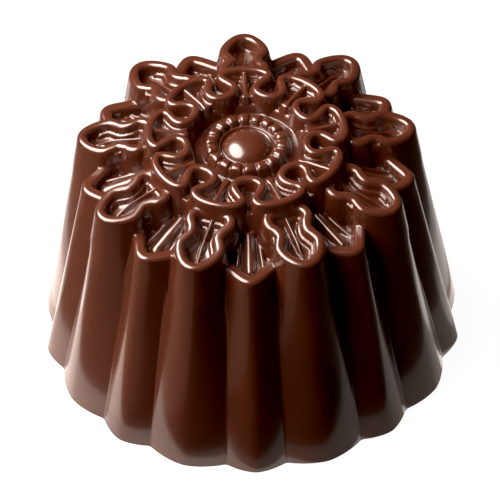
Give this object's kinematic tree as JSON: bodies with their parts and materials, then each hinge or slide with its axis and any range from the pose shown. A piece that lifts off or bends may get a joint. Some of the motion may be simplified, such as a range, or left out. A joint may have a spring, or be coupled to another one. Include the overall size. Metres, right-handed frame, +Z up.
{
  "type": "chocolate bonbon",
  "caption": "Moulded chocolate bonbon: a tapering fluted cup with a flower of petals, a meandering lace ribbon and a beaded ring round a dome on its top.",
  "frame": {"origin": "middle of the flat base, on the surface that the bonbon stands on", "axes": "+Z up through the dome, -Y towards the small petal that faces the viewer, +X to the viewer's right"},
  "size_m": [0.0296, 0.03, 0.0185],
  "materials": {
    "chocolate": "glossy moulded dark chocolate"
  },
  "bodies": {
    "root": {"bonbon": "chocolate"}
  },
  "joints": []
}
